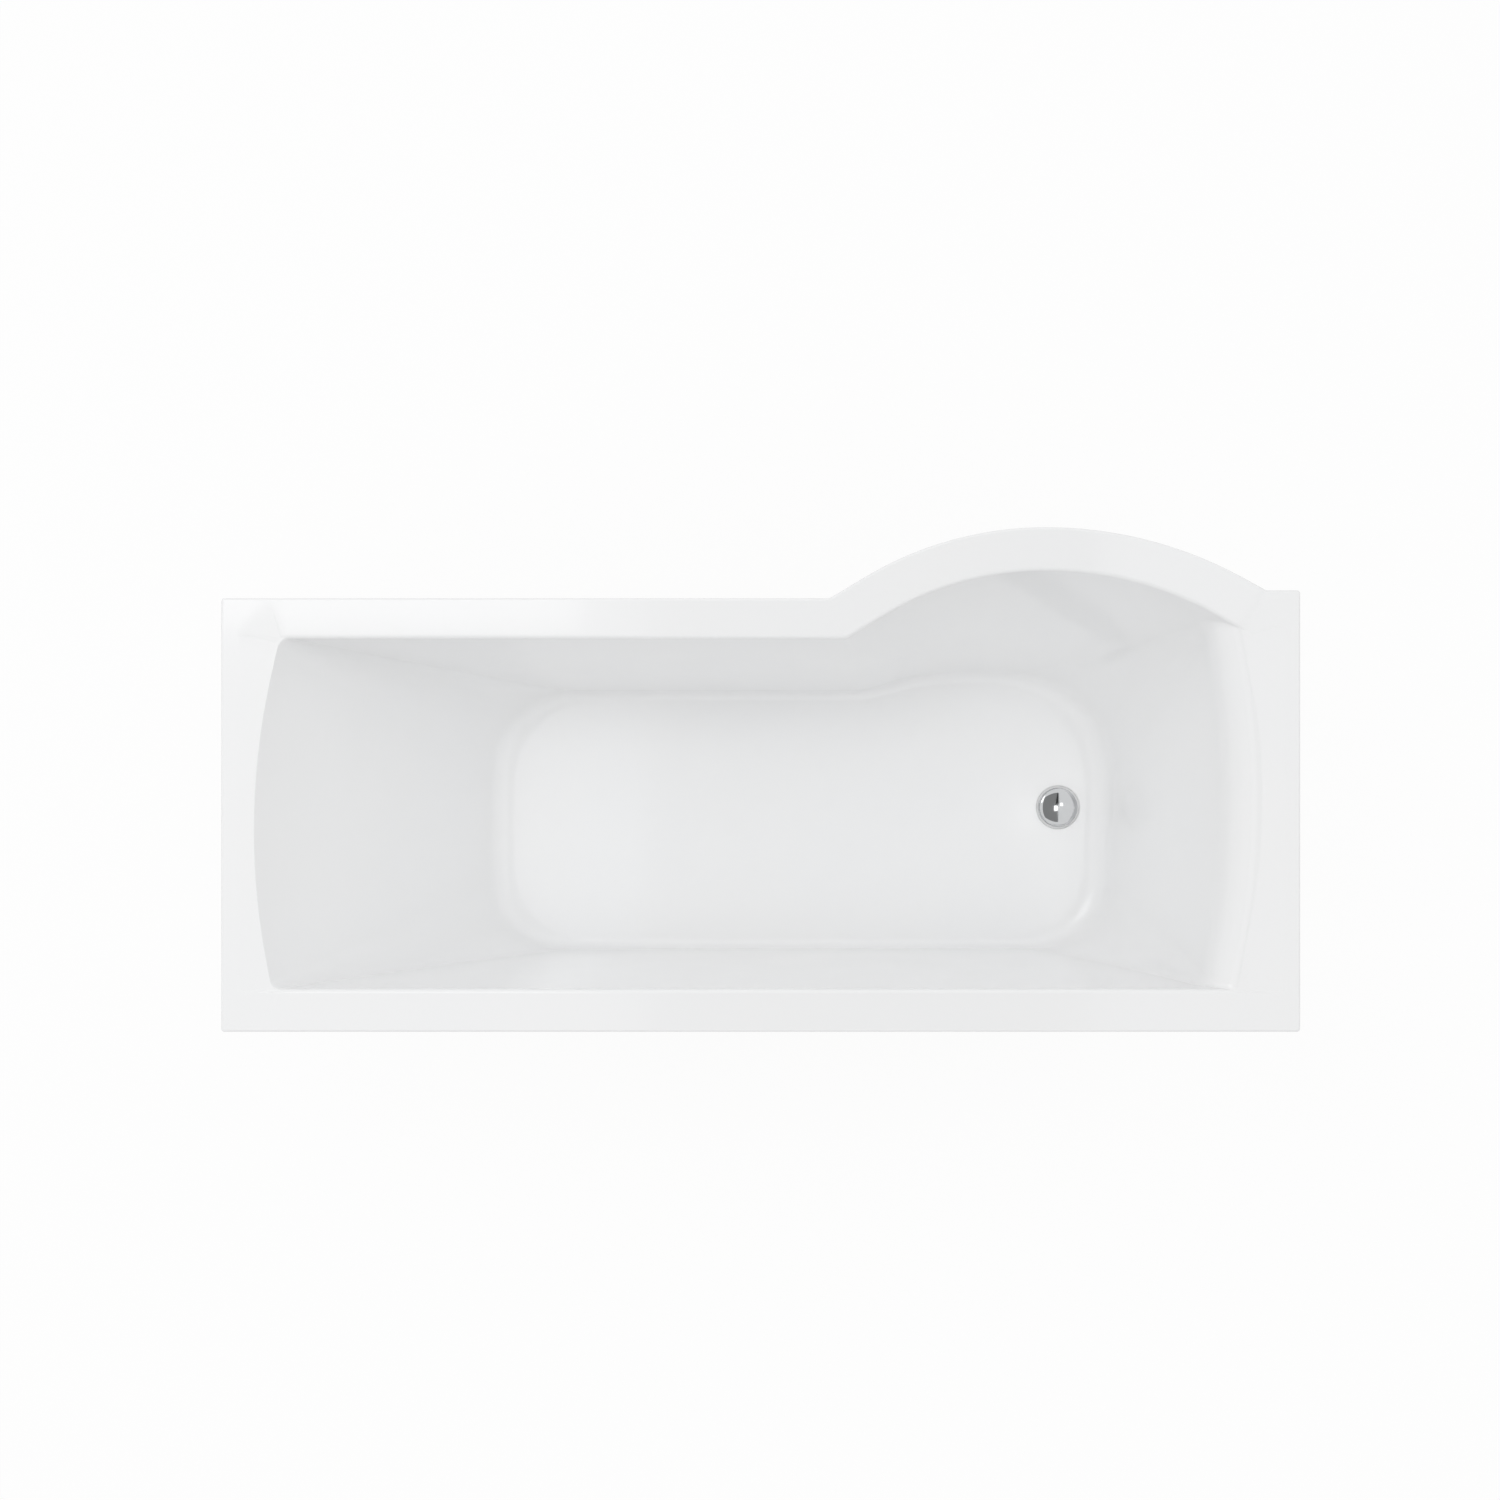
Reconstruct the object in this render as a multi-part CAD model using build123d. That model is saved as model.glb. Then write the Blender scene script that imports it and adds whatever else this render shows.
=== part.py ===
from build123d import *
from math import asin, atan2, cos, degrees, hypot, pi, radians, sin, sqrt, tan
import os

# An acrylic shower bath with a bowed front, its steel cradle and its push-to-close waste.
# X runs along the bath with the waste end at -X, the bather's side is -Y and the wall is at +Y.
# The origin is on the floor, below the middle of the rim. Millimetres throughout.

# Rim in plan
LENGTH = 1700.0
BOW_WIDTH = 795.0  # wall edge to the crown of the bow
STRAIGHT_WIDTH = 683.0  # wall edge to the straight front edge at the head half
BLOCK_WIDTH = 695.5  # wall edge to the front of the corner block at the waste end
CROWN_FROM_END = 401.0  # waste end to the crown of the bow
# Each half of the bow is an arc that runs out straight: reach is its length from the crown,
# fullness the share of its rise that the arc makes
HEAD_BOW = (340.3, 0.708)
WASTE_BOW = (347.3, 0.818)
RIM_CORNER = 5.0
KINK_RADIUS = 8.0  # where the bow meets the straight front and the block

# Rim in section
RIM_HEIGHT = 550.0  # rim top above the floor, with the feet at mid travel
ACRYLIC = 5.0  # sheet thickness
LIP_DEPTH = 38.0
LIP_EDGE_RADIUS = 4.0
FRONT_RIM = 57.0  # widths of the flat rim, from its edge to the well
BOW_RIM = 62.0
WALL_RIM = 60.5
BLOCK_RIM = 55.0
HEAD_DECK = 47.5
WASTE_DECK = 44.1
DECK_FALL = 3.0  # degrees: the end decks slope to the well
DECK_START = 25.0  # and start this far in from the ends

# Well
WELL_DEPTH = 390.0  # rim to the lowest part of the floor
FLOOR_FALL = 6.0  # the floor falls this much from the head end to the waste end
HEAD_RUN = 369.0  # how far the foot of each wall lies in from the edge of the rim
WASTE_RUN = 225.9
FRONT_RUN = 97.0
FLOOR_BOW_SHARE = 0.259  # rise of the bow at the floor, as a share of its rise at the rim
WALL_RUN = 50.0
SIDE_ROLL = 7.0  # radius over which the rim turns down into the front, bow, wall and head walls
WASTE_ROLL = 75.0
HEAD_BLEND = 60.0  # radius between each wall and the floor
WASTE_BLEND = 50.0
FRONT_BLEND = 20.0
BOW_BLEND = 30.0
WALL_BLEND = 20.0
WELL_BOW_RADIUS = 552.0  # bow of the well, crown to waste end
WELL_BOW_REACH = (315.0, 195.0)  # crown to where the bow meets the front, at the rim and floor
WELL_BOW_FULLNESS = 0.66
CROWN_SHIFT = 66.0  # the crown moves towards the head end on its way down
END_RADIUS = 1160.0  # the end walls bulge outwards, at the rim and at the floor
FLOOR_END_RADIUS = 3000.0
HEAD_ARC_OFFSET = 24.0  # the end arcs are highest this far from the middle line
WASTE_ARC_OFFSET = -23.0
# Corner radii in plan, at the rim and at the floor
HEAD_FRONT_CORNER = (20.0, 150.0)
HEAD_WALL_CORNER = (14.0, 130.0)
WASTE_WALL_CORNER = (9.0, 130.0)
BOW_CORNER = (10.0, 185.0)
BOW_KINK = (12.0, 190.0)
WELL_LEVELS = 28  # steps of the loft from rim to floor

# Backing, baseboard and battens
GLASSFIBRE = 4.0
BACKING_TOP = 32.0  # the backing starts this far below the rim
BOARD_THICKNESS = 18.0
BOARD_MARGIN = 12.0  # baseboard edge inside the flat of the floor
BOARD_CORNER = 40.0
BOARD_SLOT = 120.0  # width of the cut-out round the waste
BATTEN_WIDTH = 34.0
BATTEN_HEIGHT = 20.0
PANEL_GAP = 5.0  # batten to lip, for the top edge of a front panel
BATTEN_GAP = 1.0  # batten to batten

# Steel cradle
STEEL = 2.0
BEND_RADIUS = 2.0
BAR_WIDTH = 40.0
BAR_HEIGHT = 25.0
HEAD_BAR_INSET = 73.5  # head cross bar inside the foot of the head wall
POST_WIDTH = 36.0
POST_FLANGE = 12.0
POST_TAB = 46.0
ROD_FROM_POST = 24.0
WOOD_SCREW_RADIUS = 2.0
WOOD_SCREW_HEAD = 4.2
WOOD_SCREW_HEAD_HEIGHT = 2.4
WOOD_SCREW_LENGTH = 16.0
SCREW_HOLE_CLEARANCE = 0.4
BAR_SCREW_PITCH = 150.0
BAR_SCREWS = 3

# Levelling feet
ROD_RADIUS = 5.0
ROD_SEAT = 6.0  # rod end above the floor
ROD_ABOVE_BAR = 33.0
ROD_HOLE_CLEARANCE = 0.5
NUT_BORE_CLEARANCE = 0.05
NUT_WIDTH = 17.0  # across flats
NUT_HEIGHT = 8.0
PAD_RADIUS = 30.0
PAD_THICKNESS = 5.0
PAD_BOSS_RADIUS = 11.0
PAD_BOSS_HEIGHT = 22.0
PAD_RIBS = 6
PAD_RIB_WIDTH = 3.0

# Wall brackets
BRACKET_WIDTH = 40.0
BRACKET_FROM_MIDDLE = 560.0
BRACKET_DROP = 60.0  # wall leaf below the lip
BRACKET_CLEARANCE = 2.0  # below the lip
BRACKET_HOLE_RADIUS = 3.0
BRACKET_HOLE_PITCH = 20.0

# Waste
WASTE_FROM_END = 317.0
WASTE_OFF_MIDDLE = 0.0
WASTE_RECESS_RADIUS = 38.0
WASTE_RECESS_DEPTH = 2.5
WASTE_HOLE_RADIUS = 26.0
WASTE_PAD_RADIUS = 45.0
FLANGE_RADIUS = 35.0
FLANGE_THICKNESS = 2.5
FLANGE_SEAL = 1.5
TAIL_RADIUS = 23.9  # G 1 1/2 thread
TAIL_LENGTH = 58.0
TAIL_WALL = 2.6
TAIL_GROOVE = 2.0  # run-out between the back nut's thread and the trap's
TAIL_GROOVE_DEPTH = 0.6
WASHER_RADIUS = 33.0
WASHER_THICKNESS = 3.0
BACK_NUT_WIDTH = 60.0
BACK_NUT_HEIGHT = 10.0
THREAD_CLEARANCE = 0.1
SPIDER_ARMS = 3
SPIDER_ARM_WIDTH = 4.0
SPIDER_HEIGHT = 6.0
SPIDER_BELOW_FLANGE = 30.0
CATCH_RADIUS = 9.0
CATCH_HEIGHT = 24.0
CATCH_STEM_RADIUS = 4.0
CATCH_STEM_LENGTH = 12.0
CATCH_BORE = 7.0
CATCH_WALL = 2.0
SPINDLE_RADIUS = 3.0
SPINDLE_COLLAR_HEIGHT = 3.0
SPINDLE_CLEARANCE = 0.08
COLLAR_STOP = 0.5  # collar to housing with the plug right up
SPRING_WIRE = 0.6  # wire radius
SPRING_TURNS = 4
PLUG_TRAVEL = 9.0
PLUG_RADIUS = 33.0
PLUG_EDGE = 2.0
PLUG_EDGE_RADIUS = 0.8
PLUG_DOME = 3.0
PLUG_HUB_RADIUS = 7.0
PLUG_HUB_DEPTH = 5.0
PLUG_SEAL_RADIUS = 29.0
PLUG_SEAL_WIDTH = 3.0
PLUG_SEAL_HEIGHT = 2.0

CUT = 1.0  # how far a cutting tool runs past the face it cuts

# Places that follow from the sizes above
HALF = LENGTH / 2
WALL_Y = BOW_WIDTH / 2
CROWN_Y = -BOW_WIDTH / 2
FRONT_Y = WALL_Y - STRAIGHT_WIDTH
BLOCK_Y = WALL_Y - BLOCK_WIDTH
CROWN_X = CROWN_FROM_END - HALF
MIDDLE_Y = (WALL_Y + FRONT_Y) / 2
RIM_UNDERSIDE = RIM_HEIGHT - ACRYLIC
LIP_BOTTOM = RIM_HEIGHT - LIP_DEPTH
FLOOR_Z = RIM_HEIGHT - WELL_DEPTH
BOARD_TOP = FLOOR_Z - ACRYLIC - GLASSFIBRE
BAR_TOP = BOARD_TOP - BOARD_THICKNESS
FOOT_LOW_X = -HALF + WASTE_DECK + WASTE_RUN
FOOT_HIGH_X = HALF - HEAD_DECK - HEAD_RUN
ROD_LENGTH = BAR_TOP + ROD_ABOVE_BAR - ROD_SEAT
BATTEN_OUTER = ACRYLIC + PANEL_GAP
BATTEN_INNER = BATTEN_OUTER + BATTEN_WIDTH
WASTE_X = WASTE_FROM_END - HALF
WASTE_Y = MIDDLE_Y + WASTE_OFF_MIDDLE
WASTE_BAR_X = CROWN_X
HEAD_BAR_X = FOOT_HIGH_X - HEAD_BAR_INSET
BAR_XS = {"head": HEAD_BAR_X, "middle": (HEAD_BAR_X + WASTE_BAR_X) / 2, "waste": WASTE_BAR_X}

BOW_RISE = FRONT_Y - CROWN_Y
BLOCK_RISE = BLOCK_Y - CROWN_Y
BOW_RUN = FRONT_RIM + FRONT_RUN - BOW_RIM + BOW_RISE * (1 - FLOOR_BOW_SHARE)

# Each wall of the well: run, roll and blend
FRONT_WALL = (FRONT_RUN, SIDE_ROLL, FRONT_BLEND)
BOW_WALL = (BOW_RUN, SIDE_ROLL, BOW_BLEND)
BACK_WALL = (WALL_RUN, SIDE_ROLL, WALL_BLEND)
HEAD_WALL = (HEAD_RUN, SIDE_ROLL, HEAD_BLEND)
WASTE_WALL = (WASTE_RUN, WASTE_ROLL, WASTE_BLEND)


def mix(pair, share):
    return pair[0] + (pair[1] - pair[0]) * share


def arc(centre, radius, start, end):
    """Arc of under half a turn about centre, from start to end."""
    towards_x = start[0] + end[0] - 2 * centre[0]
    towards_y = start[1] + end[1] - 2 * centre[1]
    size = hypot(towards_x, towards_y)
    middle = (centre[0] + radius * towards_x / size, centre[1] + radius * towards_y / size)
    return ThreePointArc(start, middle, end)


def bow_shape(rise, reach, fullness):
    """Radius of the arc of half a bow, and the angle at which it runs out straight."""
    slender = reach / rise
    straight = 1 - fullness
    half_tan = (sqrt(slender**2 + straight * (1 + fullness)) - slender) / straight
    angle = 2 * atan2(half_tan, 1)
    return fullness * rise / (1 - cos(angle)), angle


HEAD_BOW_RADIUS, HEAD_BOW_ANGLE = bow_shape(BOW_RISE, *HEAD_BOW)
WASTE_BOW_RADIUS, WASTE_BOW_ANGLE = bow_shape(BLOCK_RISE, *WASTE_BOW)


def half_bow(crown, radius, angle, end_y, side):
    """One half of a bow: an arc from the crown, then its tangent down to end_y."""
    arc_end = (crown[0] + side * radius * sin(angle), crown[1] + radius * (1 - cos(angle)))
    kink = (arc_end[0] + side * (end_y - arc_end[1]) / tan(angle), end_y)
    return arc_end, kink


def rounded(face, corners):
    """Round the corners of a face, given as points and radii."""
    for point, radius in corners:
        vertex = face.vertices().sort_by_distance(point)[0]
        face = fillet(vertex, radius)
    return face


def rim_outline(inset=0.0):
    """Outer edge of the rim in plan, moved in by inset."""
    crown = (CROWN_X, CROWN_Y + inset)
    head_radius, waste_radius = HEAD_BOW_RADIUS - inset, WASTE_BOW_RADIUS - inset
    front, block, wall, end = FRONT_Y + inset, BLOCK_Y + inset, WALL_Y - inset, HALF - inset
    head_end, head_kink = half_bow(crown, head_radius, HEAD_BOW_ANGLE, front, 1)
    waste_end, waste_kink = half_bow(crown, waste_radius, WASTE_BOW_ANGLE, block, -1)
    face = make_face(
        [
            Line((end, front), head_kink),
            Line(head_kink, head_end),
            arc((crown[0], crown[1] + head_radius), head_radius, head_end, crown),
            arc((crown[0], crown[1] + waste_radius), waste_radius, crown, waste_end),
            Line(waste_end, waste_kink),
            Line(waste_kink, (-end, block)),
            Line((-end, block), (-end, wall)),
            Line((-end, wall), (end, wall)),
            Line((end, wall), (end, front)),
        ]
    )
    corner, kink = max(RIM_CORNER - inset, 0.0), KINK_RADIUS + inset
    corners = [(head_kink, kink), (waste_kink, kink)]
    if corner > 0:
        square = [(end, front), (-end, block), (-end, wall), (end, wall)]
        corners += [(point, corner) for point in square]
    return rounded(face, corners)


def wall_inset(depth, wall, skin):
    """How far a wall has come in at this depth: a roll, a leaning line, a blend to the floor.

    skin moves the whole profile out by a thickness, measured square to it.
    """
    run, roll, blend = wall
    down = WELL_DEPTH - blend - roll
    lean = atan2(run, down) - asin((roll + blend) / hypot(run, down))
    outer_roll = roll - skin
    if outer_roll > 0 and depth < roll - outer_roll * sin(lean):
        return sqrt(outer_roll**2 - (roll - depth) ** 2)
    below_centre = depth - (WELL_DEPTH - blend)
    if below_centre < (blend + skin) * sin(lean):
        return (depth - roll) * tan(lean) + outer_roll / cos(lean)
    return run - sqrt(max((blend + skin) ** 2 - below_centre**2, 0.0))


def circles_meet(first, first_radius, second, second_radius):
    """The point with the lower y where two circles cross."""
    gap_x, gap_y = second[0] - first[0], second[1] - first[1]
    gap = hypot(gap_x, gap_y)
    along = (gap**2 + first_radius**2 - second_radius**2) / (2 * gap)
    across = sqrt(first_radius**2 - along**2)
    base_x, base_y = first[0] + along * gap_x / gap, first[1] + along * gap_y / gap
    crossings = [
        (base_x - side * across * gap_y / gap, base_y + side * across * gap_x / gap)
        for side in (1, -1)
    ]
    return min(crossings, key=lambda point: point[1])


def well_outline(depth, skin=0.0):
    """Plan of the well at this depth below the rim, moved out by skin."""
    share = depth / (WELL_DEPTH + skin)
    front = FRONT_Y + FRONT_RIM + wall_inset(depth, FRONT_WALL, skin)
    wall = WALL_Y - WALL_RIM - wall_inset(depth, BACK_WALL, skin)
    head = HALF - HEAD_DECK - wall_inset(depth, HEAD_WALL, skin)
    waste = -HALF + WASTE_DECK + wall_inset(depth, WASTE_WALL, skin)
    crown = (
        CROWN_X + CROWN_SHIFT * share,
        CROWN_Y + BOW_RIM + wall_inset(depth, BOW_WALL, skin),
    )
    reach = mix(WELL_BOW_REACH, share)
    bow_radius, exit_angle = bow_shape(front - crown[1], reach, WELL_BOW_FULLNESS)
    bow_end, kink = half_bow(crown, bow_radius, exit_angle, front, 1)

    end_radius = mix((END_RADIUS, FLOOR_END_RADIUS), share) + skin
    head_centre = (head - end_radius, MIDDLE_Y + HEAD_ARC_OFFSET)
    waste_centre = (waste + end_radius, MIDDLE_Y + WASTE_ARC_OFFSET)
    waste_bow_radius = WELL_BOW_RADIUS + skin
    waste_bow_centre = (crown[0], crown[1] + waste_bow_radius)

    def head_x(y):
        return head_centre[0] + sqrt(end_radius**2 - (y - head_centre[1]) ** 2)

    def waste_x(y):
        return waste_centre[0] - sqrt(end_radius**2 - (y - waste_centre[1]) ** 2)

    head_front, head_back = (head_x(front), front), (head_x(wall), wall)
    waste_back = (waste_x(wall), wall)
    bow_corner = circles_meet(waste_bow_centre, waste_bow_radius, waste_centre, end_radius)
    face = make_face(
        [
            Line(head_front, kink),
            Line(kink, bow_end),
            arc((crown[0], crown[1] + bow_radius), bow_radius, bow_end, crown),
            arc(waste_bow_centre, waste_bow_radius, crown, bow_corner),
            arc(waste_centre, end_radius, bow_corner, waste_back),
            Line(waste_back, head_back),
            arc(head_centre, end_radius, head_back, head_front),
        ]
    )
    return rounded(
        face,
        [
            (head_front, mix(HEAD_FRONT_CORNER, share) + skin),
            (head_back, mix(HEAD_WALL_CORNER, share) + skin),
            (waste_back, mix(WASTE_WALL_CORNER, share) + skin),
            (bow_corner, mix(BOW_CORNER, share) + skin),
            (kink, mix(BOW_KINK, share) - skin),
        ],
    )


def well_body(skin=0.0, top=0.0, fall=FLOOR_FALL):
    """The well as a solid, lofted through its plans from depth top to the floor.

    The plans crowd together at the rim and at the floor, where the walls curve, and tip
    towards the waste end as they go down.
    """
    bottom = WELL_DEPTH + skin
    sections = []
    for level in range(WELL_LEVELS + 1):
        part = level / WELL_LEVELS
        crowded = part - sin(2 * pi * part) / (2 * pi)
        depth = top + (bottom - top) * crowded
        tip = degrees(atan2(fall * depth / bottom, FOOT_HIGH_X - FOOT_LOW_X))
        place = Pos(FOOT_LOW_X, 0, RIM_HEIGHT - depth) * Rot(0, -tip, 0) * Pos(-FOOT_LOW_X, 0, 0)
        sections.append(place * well_outline(depth, skin))
    return loft(sections)


def floor_z(x):
    """Height of the well floor at x."""
    return FLOOR_Z + FLOOR_FALL * (x - FOOT_LOW_X) / (FOOT_HIGH_X - FOOT_LOW_X)


def disc(radius, bottom, top, x=WASTE_X, y=WASTE_Y):
    """Upright cylinder between two heights, on the waste's axis unless told otherwise."""
    return Pos(x, y, (bottom + top) / 2) * Cylinder(radius, top - bottom)


def slab(x0, x1, y0, y1, z0, z1):
    """Box between two corners."""
    return Pos((x0 + x1) / 2, (y0 + y1) / 2, (z0 + z1) / 2) * Box(x1 - x0, y1 - y0, z1 - z0)


# Waste heights
WASTE_SEAT = floor_z(WASTE_X) - WASTE_RECESS_DEPTH
WASTE_PAD_BOTTOM = WASTE_SEAT - ACRYLIC
FLANGE_BOTTOM = WASTE_SEAT + FLANGE_SEAL
FLANGE_TOP = FLANGE_BOTTOM + FLANGE_THICKNESS
TAIL_BOTTOM = FLANGE_TOP - TAIL_LENGTH
WASHER_BOTTOM = WASTE_PAD_BOTTOM - WASHER_THICKNESS
BACK_NUT_BOTTOM = WASHER_BOTTOM - BACK_NUT_HEIGHT
SPIDER_TOP = FLANGE_TOP - SPIDER_BELOW_FLANGE
CATCH_TOP = SPIDER_TOP + CATCH_HEIGHT
COLLAR_TOP = CATCH_TOP - CATCH_WALL - PLUG_TRAVEL - COLLAR_STOP
COLLAR_BOTTOM = COLLAR_TOP - SPINDLE_COLLAR_HEIGHT
CATCH_FLOOR = SPIDER_TOP + CATCH_WALL
PLUG_BOTTOM = FLANGE_TOP + PLUG_SEAL_HEIGHT


def end_deck_cut(side):
    """Wedge that lets an end deck slope down to the well; side is 1 at the head end."""
    start = HALF - DECK_START
    reach = HALF - (HEAD_DECK + SIDE_ROLL if side > 0 else WASTE_DECK + WASTE_ROLL / 2) - DECK_START
    fall = (start - reach) * tan(radians(DECK_FALL))
    wedge = Polyline(
        (side * start, RIM_HEIGHT),
        (side * reach, RIM_HEIGHT),
        (side * reach, RIM_HEIGHT - fall),
        close=True,
    )
    front = FRONT_Y + FRONT_RIM if side > 0 else BLOCK_Y + BLOCK_RIM
    back = WALL_Y - WALL_RIM
    profile = Plane.XZ * make_face(wedge)
    return Pos(0, back, 0) * extrude(profile, back - front)


def bath_shell():
    rim = Pos(0, 0, LIP_BOTTOM) * extrude(rim_outline(), LIP_DEPTH)
    rim = fillet(rim.edges().group_by(Axis.Z)[-1], LIP_EDGE_RADIUS)
    hollow = Pos(0, 0, LIP_BOTTOM) * extrude(rim_outline(ACRYLIC), LIP_DEPTH - ACRYLIC)
    shell = rim - hollow + well_body(ACRYLIC, ACRYLIC)
    shell += disc(WASTE_PAD_RADIUS, WASTE_PAD_BOTTOM, WASTE_SEAT)
    shell -= well_body()
    shell -= disc(WASTE_RECESS_RADIUS, WASTE_SEAT, RIM_HEIGHT)
    shell -= disc(WASTE_HOLE_RADIUS, WASTE_PAD_BOTTOM - CUT, RIM_HEIGHT)
    for side in (1, -1):
        shell -= end_deck_cut(side)
    return shell


def glass_fibre_backing():
    """Sprayed skin under the well, with a level bedding for the baseboard."""
    outer = well_body(ACRYLIC + GLASSFIBRE, BACKING_TOP, 0.0)
    hole = disc(WASTE_PAD_RADIUS, BOARD_TOP - CUT, WASTE_SEAT)
    return outer - well_body(ACRYLIC, ACRYLIC) - hole


def baseboard():
    front = FRONT_Y + FRONT_RIM + FRONT_RUN + BOARD_MARGIN
    back = WALL_Y - WALL_RIM - WALL_RUN - BOARD_MARGIN
    low, high = FOOT_LOW_X + BOARD_MARGIN, FOOT_HIGH_X - BOARD_MARGIN
    board = slab(low, high, front, back, BAR_TOP, BOARD_TOP)
    board = fillet(board.edges().filter_by(Axis.Z), BOARD_CORNER)
    half_slot = BOARD_SLOT / 2
    slot = slab(low - CUT, WASTE_X, WASTE_Y - half_slot, WASTE_Y + half_slot, BAR_TOP, BOARD_TOP)
    return board - slot - disc(half_slot, BAR_TOP, BOARD_TOP)


def battens():
    """Five rim battens: one ring inside the lip, cut where the pieces butt."""
    ring = rim_outline(BATTEN_OUTER) - rim_outline(BATTEN_INNER)
    bottom = RIM_UNDERSIDE - BATTEN_HEIGHT
    ring = Pos(0, 0, bottom) * extrude(ring, BATTEN_HEIGHT)
    end = HALF - BATTEN_INNER
    back = WALL_Y - BATTEN_INNER
    front = CROWN_Y - CUT
    join = half_bow((CROWN_X, CROWN_Y), HEAD_BOW_RADIUS, HEAD_BOW_ANGLE, FRONT_Y, 1)[1][0]

    def cut(x0, x1, y0, y1):
        return ring & slab(x0, x1, y0, y1, bottom - CUT, RIM_UNDERSIDE + CUT)

    return {
        "wall_rim_batten": cut(-HALF, HALF, back, WALL_Y),
        "head_rim_batten": cut(end, HALF, front, back - BATTEN_GAP),
        "waste_rim_batten": cut(-HALF, -end, front, back - BATTEN_GAP),
        "front_rim_batten": cut(join, end - BATTEN_GAP, front, 0),
        "bow_rim_batten": cut(-end + BATTEN_GAP, join - BATTEN_GAP, front, 0),
    }


def post_face(x, side):
    """Outer face of a post, against the batten; side is 1 at the wall."""
    if side > 0:
        return WALL_Y - BATTEN_INNER
    if x != CROWN_X:
        return FRONT_Y + BATTEN_INNER
    inner = HEAD_BOW_RADIUS - BATTEN_INNER
    sag = inner - sqrt(inner**2 - (POST_WIDTH / 2) ** 2)
    return CROWN_Y + BATTEN_INNER + sag


def rod_y(x, side):
    return post_face(x, side) - side * (STEEL + ROD_FROM_POST)


def channel_profile(width, depth):
    """Folded channel, open downwards, with its web on the line y = 0."""
    outer = Pos(0, -depth / 2) * Rectangle(width, depth)
    outer = fillet(outer.vertices().group_by(Axis.Y)[-1], BEND_RADIUS + STEEL)
    inner = Pos(0, -(depth + STEEL) / 2) * Rectangle(width - 2 * STEEL, depth - STEEL)
    inner = fillet(inner.vertices().group_by(Axis.Y)[-1], BEND_RADIUS)
    return outer - inner


def bar_screw_ys(x):
    middle = (rod_y(x, 1) + rod_y(x, -1)) / 2
    return [middle + (i - (BAR_SCREWS - 1) / 2) * BAR_SCREW_PITCH for i in range(BAR_SCREWS)]


def cross_bar(x):
    """Steel channel under the baseboard, holed for two feet and the board screws."""
    start, stop = post_face(x, -1) + STEEL, post_face(x, 1) - STEEL
    profile = Pos(x, start, BAR_TOP) * Rot(90, 0, 0) * channel_profile(BAR_WIDTH, BAR_HEIGHT)
    bar = extrude(profile, stop - start, dir=(0, 1, 0))
    hole = ROD_RADIUS + ROD_HOLE_CLEARANCE
    for side in (-1, 1):
        bar -= disc(hole, BAR_TOP - BAR_HEIGHT, BAR_TOP + CUT, x, rod_y(x, side))
    hole = WOOD_SCREW_RADIUS + SCREW_HOLE_CLEARANCE
    for y in bar_screw_ys(x):
        bar -= disc(hole, BAR_TOP - STEEL - CUT, BAR_TOP + CUT, x, y)
    return bar


def post_screw_places(x, side):
    """Two screws side by side through the top of a post."""
    z = RIM_UNDERSIDE - BATTEN_HEIGHT / 2
    return [(x + shift * POST_WIDTH / 4, post_face(x, side) - side * STEEL, z) for shift in (-1, 1)]


def post(x, side):
    """Folded steel post: a tab on the bar, a channel up to the batten, a plain end on it."""
    face = post_face(x, side)
    inner = face - side * STEEL
    top = RIM_UNDERSIDE - BATTEN_HEIGHT
    tab_end = inner - side * (POST_TAB - STEEL)
    bend = BEND_RADIUS + STEEL
    profile = Polyline(
        (face, BAR_TOP), (tab_end, BAR_TOP), (tab_end, BAR_TOP + STEEL),
        (inner, BAR_TOP + STEEL), (inner, RIM_UNDERSIDE), (face, RIM_UNDERSIDE), close=True,
    )
    strip = extrude(Plane.YZ * make_face(profile), POST_WIDTH / 2, both=True)
    heel = strip.edges().filter_by(Axis.X).sort_by_distance((0, face, BAR_TOP))[0]
    strip = fillet(heel, bend)
    elbow = strip.edges().filter_by(Axis.X).sort_by_distance((0, inner, BAR_TOP + STEEL))[0]
    strip = Pos(x, 0, 0) * fillet(elbow, BEND_RADIUS)
    low, high = BAR_TOP + bend, top - BATTEN_GAP
    for edge in (-1, 1):
        near, far = x + edge * POST_WIDTH / 2, x + edge * (POST_WIDTH / 2 - STEEL)
        out = face + side * POST_FLANGE
        flange = slab(min(near, far), max(near, far), min(inner, out), max(inner, out), low, high)
        foot = flange.edges().filter_by(Axis.X).sort_by_distance((near, out, low))[0]
        head = flange.edges().filter_by(Axis.X).sort_by_distance((near, out, high))[0]
        strip += chamfer([foot, head], POST_FLANGE - STEEL)
    low, high = BAR_TOP - CUT, BAR_TOP + STEEL + CUT
    strip -= disc(ROD_RADIUS + ROD_HOLE_CLEARANCE, low, high, x, rod_y(x, side))
    hole = Rot(90, 0, 0) * Cylinder(WOOD_SCREW_RADIUS + SCREW_HOLE_CLEARANCE, 2 * (STEEL + CUT))
    for place in post_screw_places(x, side):
        strip -= Pos(*place) * hole
    return strip


def wood_screw():
    """Pan-head screw: the head's underside is at the origin and the shank runs up +Z."""
    head = disc(WOOD_SCREW_HEAD, -WOOD_SCREW_HEAD_HEIGHT, 0, 0, 0)
    head = fillet(head.edges().group_by(Axis.Z)[0], WOOD_SCREW_HEAD_HEIGHT / 2)
    point = WOOD_SCREW_RADIUS * 2
    shank = disc(WOOD_SCREW_RADIUS, 0, WOOD_SCREW_LENGTH - point, 0, 0)
    tip = Cone(WOOD_SCREW_RADIUS, WOOD_SCREW_RADIUS / 5, point)
    return head + shank + Pos(0, 0, WOOD_SCREW_LENGTH - point / 2) * tip


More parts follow.
